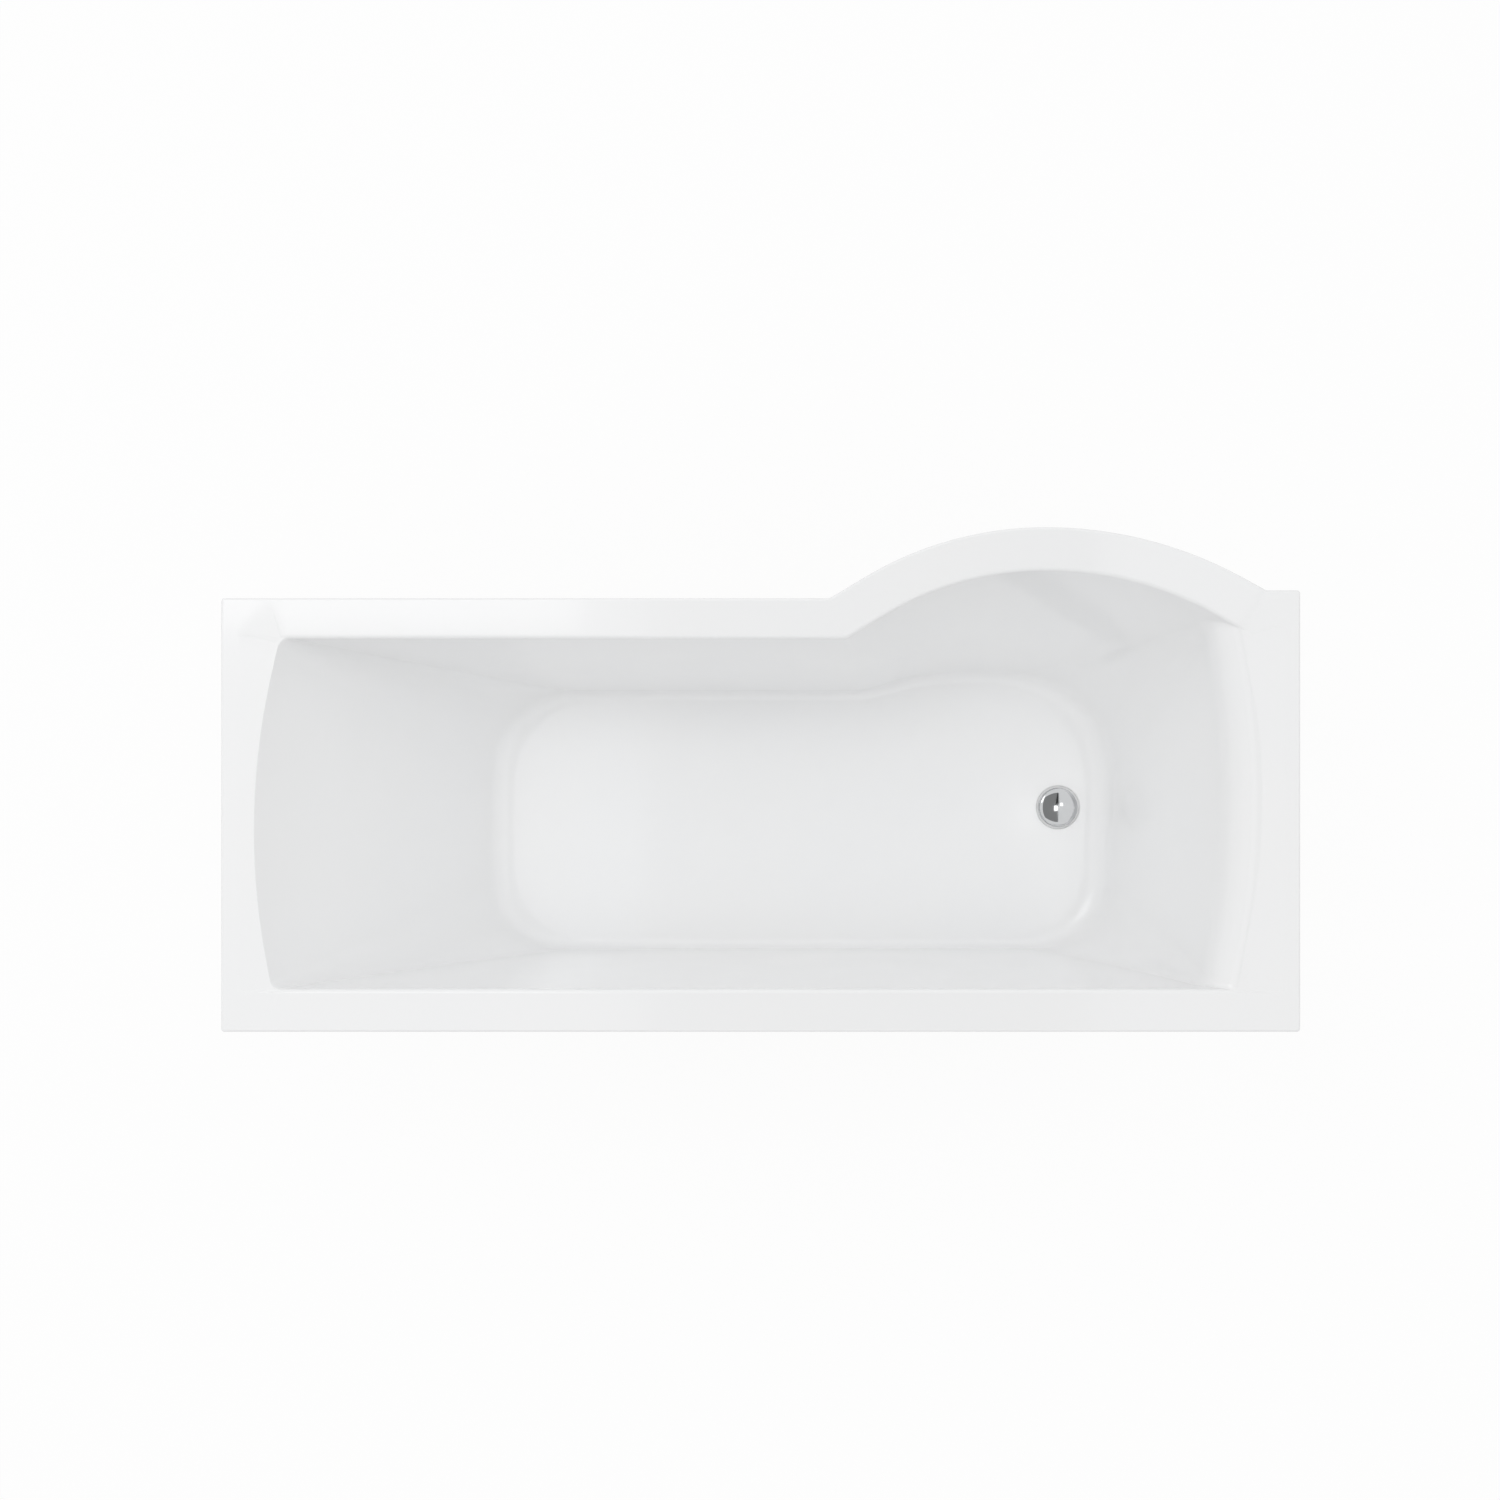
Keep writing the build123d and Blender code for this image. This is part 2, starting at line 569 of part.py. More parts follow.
def bar_screws():
    screw = wood_screw()
    places = [Pos(x, y, BAR_TOP - STEEL) for x in BAR_XS.values() for y in bar_screw_ys(x)]
    return Compound([place * screw for place in places])


def post_screws():
    screw = wood_screw()
    pieces = []
    for x in BAR_XS.values():
        for side in (-1, 1):
            for place in post_screw_places(x, side):
                pieces.append(Pos(*place) * Rot(-90 * side, 0, 0) * screw)
    return Compound(pieces)


def hex_nut(width, height, bore):
    """Hexagon nut standing on the origin, its corners turned off at both faces."""
    blank = extrude(RegularPolygon(width / 2, 6, major_radius=False), height)
    across_corners = width / sqrt(3)
    turned = Pos(0, 0, height / 2) * Cylinder(across_corners, height)
    drop = (across_corners - width / 2) / 2
    turned = chamfer(turned.edges().filter_by(GeomType.CIRCLE), drop, 2 * drop)
    return (blank & turned) - disc(bore, -CUT, height + CUT, 0, 0)


def lock_nuts(bottom):
    """One nut on each foot's rod, standing at this height."""
    nut = hex_nut(NUT_WIDTH, NUT_HEIGHT, ROD_RADIUS + NUT_BORE_CLEARANCE)
    places = [Pos(x, rod_y(x, side), bottom) for x in BAR_XS.values() for side in (-1, 1)]
    return Compound([place * nut for place in places])


def foot_rod(x, side):
    rod = disc(ROD_RADIUS, ROD_SEAT, ROD_SEAT + ROD_LENGTH, x, rod_y(x, side))
    ends = rod.edges().filter_by(GeomType.CIRCLE)
    return chamfer(ends, ROD_RADIUS / 5)


def foot_pad(x, side):
    """Ribbed plastic pad with a blind socket for its rod."""
    base = disc(PAD_RADIUS, 0, PAD_THICKNESS, 0, 0)
    base = fillet(base.edges().group_by(Axis.Z)[-1], PAD_THICKNESS / 2)
    pad = base + disc(PAD_BOSS_RADIUS, 0, PAD_BOSS_HEIGHT, 0, 0)
    reach = PAD_RADIUS - PAD_THICKNESS
    rib = Polyline(
        (0, 0), (reach, 0), (reach, PAD_THICKNESS), (PAD_BOSS_RADIUS, PAD_BOSS_HEIGHT - STEEL),
        (0, PAD_BOSS_HEIGHT - STEEL), close=True,
    )
    rib = extrude(Plane.XZ * make_face(rib), PAD_RIB_WIDTH / 2, both=True)
    for i in range(PAD_RIBS):
        pad += Rot(0, 0, i * 360 / PAD_RIBS) * rib
    pad -= disc(ROD_RADIUS, ROD_SEAT, PAD_BOSS_HEIGHT + CUT, 0, 0)
    return Pos(x, rod_y(x, side), 0) * pad


def bracket_heights():
    """Steps of a wall bracket: under the batten, under the lip, bottom of the wall leaf."""
    shelf = RIM_UNDERSIDE - BATTEN_HEIGHT
    step = LIP_BOTTOM - BRACKET_CLEARANCE
    return shelf, step, step - BRACKET_DROP


def wall_bracket(x):
    """Joggled strip from the wall batten, under the lip and down the wall."""
    shelf, step, low = bracket_heights()
    inner, knee = WALL_Y - BATTEN_INNER, WALL_Y - BATTEN_OUTER - 2 * STEEL
    path = Polyline(
        (inner, shelf), (knee + STEEL, shelf), (knee + STEEL, step), (WALL_Y, step), (WALL_Y, low),
        (WALL_Y - STEEL, low), (WALL_Y - STEEL, step - STEEL), (knee, step - STEEL),
        (knee, shelf - STEEL), (inner, shelf - STEEL), close=True,
    )
    bracket = Pos(x, 0, 0) * extrude(Plane.YZ * make_face(path), BRACKET_WIDTH / 2, both=True)
    hole = Cylinder(WOOD_SCREW_RADIUS + SCREW_HOLE_CLEARANCE, 2 * (STEEL + CUT))
    for place in bracket_screw_places(x):
        bracket -= Pos(*place) * hole
    hole = Rot(90, 0, 0) * Cylinder(BRACKET_HOLE_RADIUS, 2 * (STEEL + CUT))
    for shift in (-1, 1):
        place = Pos(x + shift * BRACKET_HOLE_PITCH / 2, WALL_Y, (step + low) / 2 - STEEL / 2)
        bracket -= place * hole
    return bracket


def bracket_screw_places(x):
    shelf = bracket_heights()[0]
    y = WALL_Y - BATTEN_INNER + BATTEN_WIDTH / 3
    return [(x + shift * BRACKET_WIDTH / 4, y, shelf - STEEL) for shift in (-1, 1)]


def bracket_screws():
    screw = wood_screw()
    places = [p for x in (-BRACKET_FROM_MIDDLE, BRACKET_FROM_MIDDLE) for p in bracket_screw_places(x)]
    return Compound([Pos(*place) * screw for place in places])


def waste_body():
    """Flange and threaded tail in one casting, with a spider across the bore."""
    bore = TAIL_RADIUS - TAIL_WALL
    body = disc(FLANGE_RADIUS, FLANGE_BOTTOM, FLANGE_TOP)
    body = fillet(body.edges().group_by(Axis.Z)[-1], FLANGE_THICKNESS / 2)
    body += disc(TAIL_RADIUS, TAIL_BOTTOM, FLANGE_TOP - FLANGE_THICKNESS / 2)
    body -= disc(bore, TAIL_BOTTOM - CUT, FLANGE_TOP + CUT)
    groove_bottom = BACK_NUT_BOTTOM - TAIL_GROOVE
    body -= washer(TAIL_RADIUS - TAIL_GROOVE_DEPTH, FLANGE_RADIUS, groove_bottom, BACK_NUT_BOTTOM)
    mouth = body.edges().filter_by(GeomType.CIRCLE).group_by(Axis.Z)[-1].sort_by(SortBy.RADIUS)[0]
    body = chamfer(mouth, FLANGE_THICKNESS / 2)
    spider = disc(CATCH_RADIUS, SPIDER_TOP - SPIDER_HEIGHT, SPIDER_TOP)
    half_arm = SPIDER_ARM_WIDTH / 2
    arm = slab(0, bore + TAIL_WALL / 2, -half_arm, half_arm, -SPIDER_HEIGHT, 0)
    for i in range(SPIDER_ARMS):
        spider += Pos(WASTE_X, WASTE_Y, SPIDER_TOP) * Rot(0, 0, i * 360 / SPIDER_ARMS) * arm
    body += spider
    return body - disc(CATCH_STEM_RADIUS, SPIDER_TOP - SPIDER_HEIGHT - CUT, SPIDER_TOP + CUT)


def washer(inner, outer, bottom, top):
    return disc(outer, bottom, top) - disc(inner, bottom - CUT, top + CUT)


def waste_back_nut():
    nut = hex_nut(BACK_NUT_WIDTH, BACK_NUT_HEIGHT, TAIL_RADIUS + THREAD_CLEARANCE)
    return Pos(WASTE_X, WASTE_Y, BACK_NUT_BOTTOM) * nut


def waste_catch():
    """Catch housing: a hollow cup on a stem that screws into the spider."""
    cup = disc(CATCH_RADIUS, SPIDER_TOP, CATCH_TOP)
    cup = fillet(cup.edges().group_by(Axis.Z)[-1], CATCH_WALL / 2)
    cup += disc(CATCH_STEM_RADIUS, SPIDER_TOP - CATCH_STEM_LENGTH, SPIDER_TOP)
    cup -= disc(CATCH_BORE, CATCH_FLOOR, CATCH_TOP - CATCH_WALL)
    return cup - disc(SPINDLE_RADIUS + SPINDLE_CLEARANCE, CATCH_FLOOR, CATCH_TOP + CUT)


def waste_spindle():
    rod = disc(SPINDLE_RADIUS, COLLAR_TOP, PLUG_BOTTOM)
    collar = disc(CATCH_BORE - 2 * SPRING_WIRE, COLLAR_BOTTOM, COLLAR_TOP)
    return rod + collar


def waste_spring():
    height = COLLAR_BOTTOM - CATCH_FLOOR - 2 * SPRING_WIRE
    radius = CATCH_BORE - 3 * SPRING_WIRE
    coil = Helix(height / SPRING_TURNS, height, radius)
    wire = Plane(coil @ 0, z_dir=coil % 0) * Circle(SPRING_WIRE)
    spring = sweep(wire, coil, is_frenet=True)
    return Pos(WASTE_X, WASTE_Y, CATCH_FLOOR + SPRING_WIRE) * spring


def waste_plug_cap():
    """Domed cap on a hub that takes the end of the spindle."""
    crown = PLUG_EDGE + PLUG_DOME
    dome = TangentArc((0, crown), (PLUG_RADIUS, PLUG_EDGE), tangent=(1, 0))
    side = Polyline((PLUG_RADIUS, PLUG_EDGE), (PLUG_RADIUS, 0), (0, 0), (0, crown))
    profile = Plane.XZ * make_face([dome] + side.edges())
    cap = revolve(profile, Axis.Z)
    rim = cap.edges().filter_by(GeomType.CIRCLE).sort_by(SortBy.RADIUS)[-2:]
    cap = fillet(rim, PLUG_EDGE_RADIUS) + disc(PLUG_HUB_RADIUS, -PLUG_HUB_DEPTH, 0, 0, 0)
    cap -= disc(SPINDLE_RADIUS, -PLUG_HUB_DEPTH - CUT, 0, 0, 0)
    return Pos(WASTE_X, WASTE_Y, PLUG_BOTTOM) * cap


def build():
    pieces = {"bath_shell": bath_shell(), "glass_fibre_backing": glass_fibre_backing()}
    pieces["baseboard"] = baseboard()
    pieces.update(battens())
    for name, x in BAR_XS.items():
        pieces[f"{name}_cross_bar"] = cross_bar(x)
        for place, side in (("front", -1), ("wall", 1)):
            pieces[f"{name}_{place}_post"] = post(x, side)
            pieces[f"{name}_{place}_foot_rod"] = foot_rod(x, side)
            pieces[f"{name}_{place}_foot_pad"] = foot_pad(x, side)
    pieces["bar_screws"] = bar_screws()
    pieces["post_screws"] = post_screws()
    pieces["upper_lock_nuts"] = lock_nuts(BAR_TOP + STEEL)
    pieces["lower_lock_nuts"] = lock_nuts(BAR_TOP - STEEL - NUT_HEIGHT)
    pieces["head_wall_bracket"] = wall_bracket(BRACKET_FROM_MIDDLE)
    pieces["waste_wall_bracket"] = wall_bracket(-BRACKET_FROM_MIDDLE)
    pieces["bracket_screws"] = bracket_screws()
    pieces["waste_body"] = waste_body()
    pieces["waste_flange_seal"] = washer(WASTE_HOLE_RADIUS, WASHER_RADIUS, WASTE_SEAT, FLANGE_BOTTOM)
    pieces["waste_washer"] = washer(
        TAIL_RADIUS + THREAD_CLEARANCE, WASHER_RADIUS, WASHER_BOTTOM, WASTE_PAD_BOTTOM
    )
    pieces["waste_back_nut"] = waste_back_nut()
    pieces["waste_catch"] = waste_catch()
    pieces["waste_spring"] = waste_spring()
    pieces["waste_spindle"] = waste_spindle()
    pieces["waste_plug_cap"] = waste_plug_cap()
    pieces["waste_plug_seal"] = washer(
        PLUG_SEAL_RADIUS - PLUG_SEAL_WIDTH, PLUG_SEAL_RADIUS, FLANGE_TOP, PLUG_BOTTOM
    )
    return pieces


os.makedirs("parts", exist_ok=True)
for node, solid in build().items():
    export_step(solid, f"parts/{node}.step")
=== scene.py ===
from math import asin, atan2, cos, hypot, pi, radians, sin, sqrt, tan

import bmesh
import bpy
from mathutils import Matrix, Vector
from mathutils.geometry import delaunay_2d_cdt


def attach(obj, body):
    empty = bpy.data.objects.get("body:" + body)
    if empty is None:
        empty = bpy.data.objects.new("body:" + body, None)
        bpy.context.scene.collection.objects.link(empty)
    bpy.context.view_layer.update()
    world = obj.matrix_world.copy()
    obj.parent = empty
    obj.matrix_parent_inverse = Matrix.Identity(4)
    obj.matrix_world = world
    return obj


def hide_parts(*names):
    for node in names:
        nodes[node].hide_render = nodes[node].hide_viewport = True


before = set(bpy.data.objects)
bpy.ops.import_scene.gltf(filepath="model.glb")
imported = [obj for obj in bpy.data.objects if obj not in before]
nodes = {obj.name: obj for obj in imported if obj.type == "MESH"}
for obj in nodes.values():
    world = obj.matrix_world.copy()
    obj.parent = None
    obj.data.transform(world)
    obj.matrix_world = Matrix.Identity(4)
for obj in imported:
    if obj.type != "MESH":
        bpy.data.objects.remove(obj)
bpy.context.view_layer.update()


# The studio. The bath stands on a white floor and is seen from straight above its middle, with the
# wall side at the foot of the picture and the waste to the right.
def add_object(name, data):
    made = bpy.data.objects.new(name, data)
    bpy.context.scene.collection.objects.link(made)
    return made


camera_data = bpy.data.cameras.new("camera")
camera_data.sensor_width = 36.0
camera_data.angle = radians(44.3)
camera = add_object("camera", camera_data)
camera.location = (0.0169, -0.0464, 3.45)
camera.rotation_euler = (0, 0, pi)
bpy.context.scene.camera = camera
bpy.context.scene.view_settings.view_transform = "Standard"


class Socket:
    """An output in a node tree: arithmetic on it adds Math nodes, node() adds any other."""

    def __init__(self, tree, source=None):
        self.tree = tree
        self.source = source

    def node(self, kind, settings=None, inputs=None, output=0):
        made = self.tree.nodes.new("ShaderNode" + kind)
        for name, value in (settings or {}).items():
            setattr(made, name, value)
        for name, value in (inputs or {}).items():
            if isinstance(value, Socket):
                self.tree.links.new(value.source, made.inputs[name])
            else:
                made.inputs[name].default_value = value
        return Socket(self.tree, made.outputs[output] if made.outputs else None)

    def maths(self, operation, first, second=0.0):
        return self.node("Math", {"operation": operation}, {0: first, 1: second})

    def __add__(self, other):
        return self.maths("ADD", self, other)

    def __sub__(self, other):
        return self.maths("SUBTRACT", self, other)

    def __rsub__(self, other):
        return self.maths("SUBTRACT", other, self)

    def __mul__(self, other):
        return self.maths("MULTIPLY", self, other)

    def __gt__(self, other):
        return self.maths("GREATER_THAN", self, other)

    __radd__ = __add__
    __rmul__ = __mul__

    def clamped(self, low, high, to_low=0.0, to_high=1.0):
        """Map low..high to to_low..to_high, held at both ends."""
        inputs = {"Value": self, "From Min": low, "From Max": high, "To Min": to_low, "To Max": to_high}
        return self.node("MapRange", {}, inputs)

    def blend(self, first, second):
        """Mix two colours, with this as the share of the second."""
        return self.node("Mix", {"data_type": "RGBA"}, {0: self, 6: first, 7: second}, 2)


def new_material(name):
    made = bpy.data.materials.new(name)
    made.use_nodes = True
    made.node_tree.nodes.clear()
    return made, Socket(made.node_tree)


def principled(shader, **inputs):
    """Principled surface; the keywords are its sockets, with underscores for spaces."""
    sockets = {name.replace("_", " "): value for name, value in inputs.items()}
    surface = shader.node("BsdfPrincipled", {}, sockets)
    shader.node("OutputMaterial", {}, {"Surface": surface})


def bumped(shader, height, strength, distance):
    return shader.node("Bump", {}, {"Height": height, "Strength": strength, "Distance": distance})


SEEN_FLOOR = 0.93  # share of the floor that the camera sees as plain white
FLOOR_REACH = 12.0
FLOOR_LEVEL = -0.0005

floor_material, shader = new_material("studio_floor")
matt = shader.node("BsdfDiffuse", {}, {"Color": (0.9, 0.9, 0.9, 1)})
plain = shader.node("Emission", {}, {"Color": (1, 1, 1, 1), "Strength": 1.0})
seen = shader.node("LightPath", {}, {}, 0) * SEEN_FLOOR
shown = shader.node("MixShader", {}, {0: seen, 1: matt, 2: plain})
beneath = shader.node("NewGeometry", output="Backfacing")
clear = shader.node("BsdfTransparent")
shown = shader.node("MixShader", {}, {0: beneath, 1: shown, 2: clear})
shader.node("OutputMaterial", {}, {"Surface": shown})
floor_mesh = bpy.data.meshes.new("studio_floor")
quarters = ((-1, -1), (1, -1), (1, 1), (-1, 1))
corners = [(x * FLOOR_REACH, y * FLOOR_REACH, FLOOR_LEVEL) for x, y in quarters]
floor_mesh.from_pydata(corners, [], [(0, 1, 2, 3)])
floor_mesh.materials.append(floor_material)
studio_floor = add_object("studio_floor", floor_mesh)

AMBIENT = 0.40  # light of the white room on the object

world = bpy.data.worlds.new("white_room")
world.use_nodes = True
world.node_tree.nodes.clear()
shader = Socket(world.node_tree)
straight = shader.node("LightPath", output="Is Camera Ray")
mirrored = shader.node("LightPath", output="Is Glossy Ray")
through = shader.node("LightPath", output="Is Transmission Ray")
white = (straight + mirrored + through) > 0.5
strength = AMBIENT + white * (1.0 - AMBIENT)
room = shader.node("Background", {}, {"Color": (1, 1, 1, 1), "Strength": strength})
shader.node("OutputWorld", {}, {"Surface": room})
bpy.context.scene.world = world


def softbox(name, place, target, width, height, watts):
    data = bpy.data.lights.new(name, "AREA")
    data.shape = "RECTANGLE"
    data.size = width
    data.size_y = height
    data.energy = watts
    box = add_object(name, data)
    box.location = place
    towards = Vector(target) - Vector(place)
    box.rotation_euler = towards.to_track_quat("-Z", "Y").to_euler()


def far_lamp(name, slope, towards, strength, spread):
    """Even light from far away: slope is its angle from overhead, towards where it comes from."""
    data = bpy.data.lights.new(name, "SUN")
    data.energy = strength
    data.angle = radians(spread)
    lamp = add_object(name, data)
    lamp.visible_glossy = False
    out, up = sin(radians(slope)), cos(radians(slope))
    away = Vector((out * towards[0], out * towards[1], up))
    lamp.rotation_euler = away.to_track_quat("Z", "Y").to_euler()


far_lamp("overhead_lamp", 0.0, (0.0, -1.0), 0.14, 60.0)
far_lamp("front_lamp", 42.0, (0.0, -1.0), 0.66, 90.0)
far_lamp("corner_lamp", 45.0, (0.7, -0.7), 0.16, 60.0)
far_lamp("head_lamp", 50.0, (1.0, 0.0), 0.26, 90.0)
far_lamp("waste_lamp", 50.0, (-1.0, 0.0), 0.26, 90.0)
far_lamp("wall_lamp", 42.0, (0.0, 1.0), 0.46, 90.0)
softbox("corner_softbox", (1.25, -1.0, 3.45), (1.25, -1.0, 0.0), 1.4, 1.16, 9.0)

# Cards beside the camera, seen only in polished surfaces: a dark one that shades half of the
# chromed plug, with a darker edge and two small lights at its end.


def card(name, tone, x_range, y_range, level):
    material, shader = new_material(name)
    glow = shader.node("Emission", {}, {"Color": (tone, tone, tone, 1), "Strength": 1.0})
    shader.node("OutputMaterial", {}, {"Surface": glow})
    mesh = bpy.data.meshes.new(name)
    (left, right), (near, far) = x_range, y_range
    corners = [(left, near, level), (right, near, level), (right, far, level), (left, far, level)]
    mesh.from_pydata(corners, [], [(0, 1, 2, 3)])
    mesh.materials.append(material)
    made = add_object(name, mesh)
    made.visible_camera = made.visible_diffuse = made.visible_shadow = False
    made.visible_transmission = False


card("grey_card", 0.32, (-1.08, 0.35), (-0.95, 1.25), 3.56)
card("card_edge", 0.02, (-1.10, -1.02), (-0.95, 0.08), 3.54)
card("small_light", 4.0, (-1.06, -0.98), (0.12, 0.24), 3.52)
card("smaller_light", 3.0, (-1.20, -1.14), (0.04, 0.12), 3.52)

# The bath shell: one sheet of white acrylic drawn down over a mould, 5 mm thick, with a rim, a
# turned-down lip, end decks that slope to the well, and a well that leans in all round. Its
# lines are those of the solid, but with the soft creases that drawn sheet has.
HALF = 0.85
WALL_Y = 0.3975
CROWN = Vector((-0.449, -0.3975))
FRONT_Y = -0.2855
BLOCK_Y = -0.298
RIM_TOP = 0.55
SHEET = 0.005
LIP = 0.038
LIP_ROUND = 0.004
FRONT_RIM, BOW_RIM, WALL_RIM, BLOCK_RIM = 0.057, 0.062, 0.0605, 0.055
HEAD_DECK, WASTE_DECK = 0.0475, 0.0441
DECK_START = 0.025
DECK_SLOPE = tan(radians(3.0))
WELL_DEPTH = 0.39
FLOOR_FALL = 0.006
FOOT_LOW_X, FOOT_HIGH_X = -0.58, 0.4335
MIDDLE_Y = (WALL_Y + FRONT_Y) / 2
WASTE = Vector((-0.533, MIDDLE_Y))
# Each half of the bow: its reach from the crown, and the share of its rise that is an arc
HEAD_BOW = (0.3403, 0.708)
WASTE_BOW = (0.3473, 0.818)
RIM_CORNER = 0.005
KINK_RADIUS = 0.008
SIDE_ROLL, WASTE_ROLL = 0.007, 0.075
# Run, roll and blend of each wall
FRONT_WALL = (0.097, SIDE_ROLL, 0.020)
BOW_WALL = (0.175, SIDE_ROLL, 0.030)
BACK_WALL = (0.050, SIDE_ROLL, 0.020)
HEAD_WALL = (0.369, SIDE_ROLL, 0.060)
WASTE_WALL = (0.2259, WASTE_ROLL, 0.050)
CROWN_SHIFT = 0.066  # the crown moves towards the head end on its way down
WELL_BOW_RADIUS = 0.552  # bow of the well, from its crown to the waste end
WELL_BOW_FULLNESS = 0.66
HEAD_ARC_OFFSET, WASTE_ARC_OFFSET = 0.024, 0.023
# Lengths that change on the way down the well: at the rim, at the floor
WELL_BOW_REACH = (0.315, 0.195)
END_RADIUS = (1.16, 3.0)
HEAD_FRONT_CORNER = (0.020, 0.150)
HEAD_WALL_CORNER = (0.014, 0.130)
WASTE_WALL_CORNER = (0.009, 0.130)
BOW_CORNER = (0.010, 0.185)
BOW_KINK = (0.012, 0.190)


def mix(pair, share):
    return pair[0] + (pair[1] - pair[0]) * share


def smooth(low, high, value):
    share = min(max((value - low) / (high - low), 0.0), 1.0)
    return share * share * (3 - 2 * share)


def line(start, end, count):
    return [start + (end - start) * i / count for i in range(count)]


def arc(centre, start, end, count):
    """Points round centre from start, short of end, the shorter way."""
    spoke = start - centre
    first = atan2(spoke.y, spoke.x)
    turn = atan2((end - centre).y, (end - centre).x) - first
    turn = (turn + pi) % (2 * pi) - pi
    angles = [first + turn * i / count for i in range(count)]
    return [centre + Vector((cos(a), sin(a))) * spoke.length for a in angles]


def round_corner(before, corner, after, radius):
    """Centre and the two ends of a fillet between two straight lines."""
    back, on = (before - corner).normalized(), (after - corner).normalized()
    half = back.angle(on) / 2
    centre = corner + (back + on).normalized() * radius / sin(half)
    cut = radius / tan(half)
    return centre, corner + back * cut, corner + on * cut


def bow_shape(rise, reach, fullness):
    slender, straight = reach / rise, 1 - fullness
    half_tan = (sqrt(slender**2 + straight * (1 + fullness)) - slender) / straight
    angle = 2 * atan2(half_tan, 1)
    return fullness * rise / (1 - cos(angle)), angle


def half_bow(crown, radius, angle, end_y, side):
    end = Vector((crown.x + side * radius * sin(angle), crown.y + radius * (1 - cos(angle))))
    kink = Vector((end.x + side * (end_y - end.y) / tan(angle), end_y))
    return end, kink


def rim_outline(inset):
    """Edge of the rim in plan, moved in by inset: from the head's front corner towards the waste."""
    crown = Vector((CROWN.x, CROWN.y + inset))
    head_radius, head_angle = bow_shape(FRONT_Y - CROWN.y, *HEAD_BOW)
    waste_radius, waste_angle = bow_shape(BLOCK_Y - CROWN.y, *WASTE_BOW)
    end, front, block, wall = HALF - inset, FRONT_Y + inset, BLOCK_Y + inset, WALL_Y - inset
    head_arc_end, head_kink = half_bow(crown, head_radius - inset, head_angle, front, 1)
    waste_arc_end, waste_kink = half_bow(crown, waste_radius - inset, waste_angle, block, -1)
    corner, kink = RIM_CORNER - inset * 0.99, KINK_RADIUS + inset
    square = [Vector((end, front)), Vector((-end, block)), Vector((-end, wall)), Vector((end, wall))]
    head_front = round_corner(square[3], square[0], head_kink, corner)
    bend = round_corner(square[0], head_kink, head_arc_end, kink)
    waste_bend = round_corner(waste_arc_end, waste_kink, square[1], kink)
    waste_front = round_corner(waste_kink, square[1], square[2], corner)
    waste_back = round_corner(square[1], square[2], square[3], corner)
    head_back = round_corner(square[2], square[3], square[0], corner)
    return (
        arc(*head_front, 6) + line(head_front[2], bend[1], 40) + arc(*bend, 6)
        + line(bend[2], head_arc_end, 6)
        + arc(crown + Vector((0, head_radius - inset)), head_arc_end, crown, 30)
        + arc(crown + Vector((0, waste_radius - inset)), crown, waste_arc_end, 34)
        + line(waste_arc_end, waste_bend[1], 4) + arc(*waste_bend, 6)
        + line(waste_bend[2], waste_front[1], 4) + arc(*waste_front, 6)
        + line(waste_front[2], waste_back[1], 40) + arc(*waste_back, 6)
        + line(waste_back[2], head_back[1], 90) + arc(*head_back, 6)
        + line(head_back[2], head_front[1], 40)
    )


def wall_inset(depth, wall):
    """How far a wall has come in at this depth: a roll, a leaning line, a blend to the floor."""
    run, roll, blend = wall
    down = WELL_DEPTH - blend - roll
    lean = atan2(run, down) - asin((roll + blend) / hypot(run, down))
    if depth < roll * (1 - sin(lean)):
        return sqrt(max(roll**2 - (roll - depth) ** 2, 0.0))
    below = depth - (WELL_DEPTH - blend)
    if below < blend * sin(lean):
        return (depth - roll) * tan(lean) + roll / cos(lean)
    return run - sqrt(max(blend**2 - below**2, 0.0))


def lower_crossing(first, first_radius, second, second_radius):
    """The crossing of two circles with the lower y."""
    gap = second - first
    along = (gap.length_squared + first_radius**2 - second_radius**2) / (2 * gap.length)
    across = sqrt(first_radius**2 - along**2)
    way = gap.normalized()
    base = first + way * along
    sides = [base + Vector((-way.y, way.x)) * across * side for side in (1, -1)]
    return min(sides, key=lambda point: point.y)


